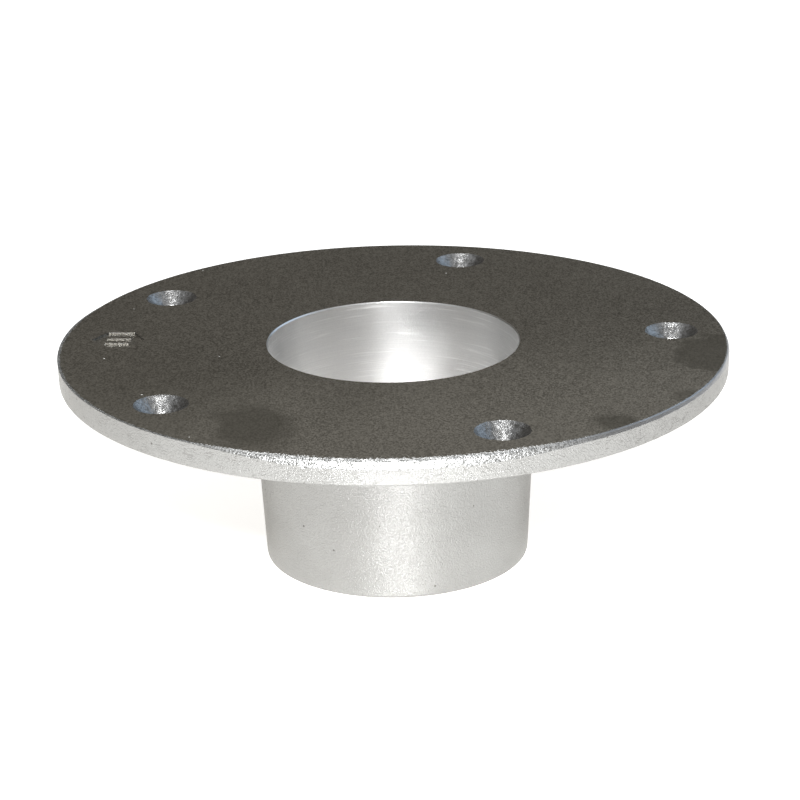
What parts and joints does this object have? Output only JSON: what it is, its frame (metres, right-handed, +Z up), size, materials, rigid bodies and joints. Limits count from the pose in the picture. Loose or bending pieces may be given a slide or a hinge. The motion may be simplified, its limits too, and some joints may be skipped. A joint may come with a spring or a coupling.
{
  "type": "stanchion base",
  "caption": "Round flanged deck socket: a flat disc with countersunk screw holes and a short tapered tube below it that takes the foot of a stanchion or table leg.",
  "frame": {"origin": "on the socket's axis, in the plane of the flange's underside, which bears on the deck", "axes": "+Z up out of the deck, along the socket's axis; +X through the centre of one screw hole; the socket hangs below Z = 0"},
  "size_m": [0.165, 0.165, 0.055],
  "materials": {
    "cast_aluminium": "sand cast, with a dull linished top face and a turned bore"
  },
  "bodies": {
    "root": {"base_casting": "cast_aluminium"}
  },
  "joints": []
}
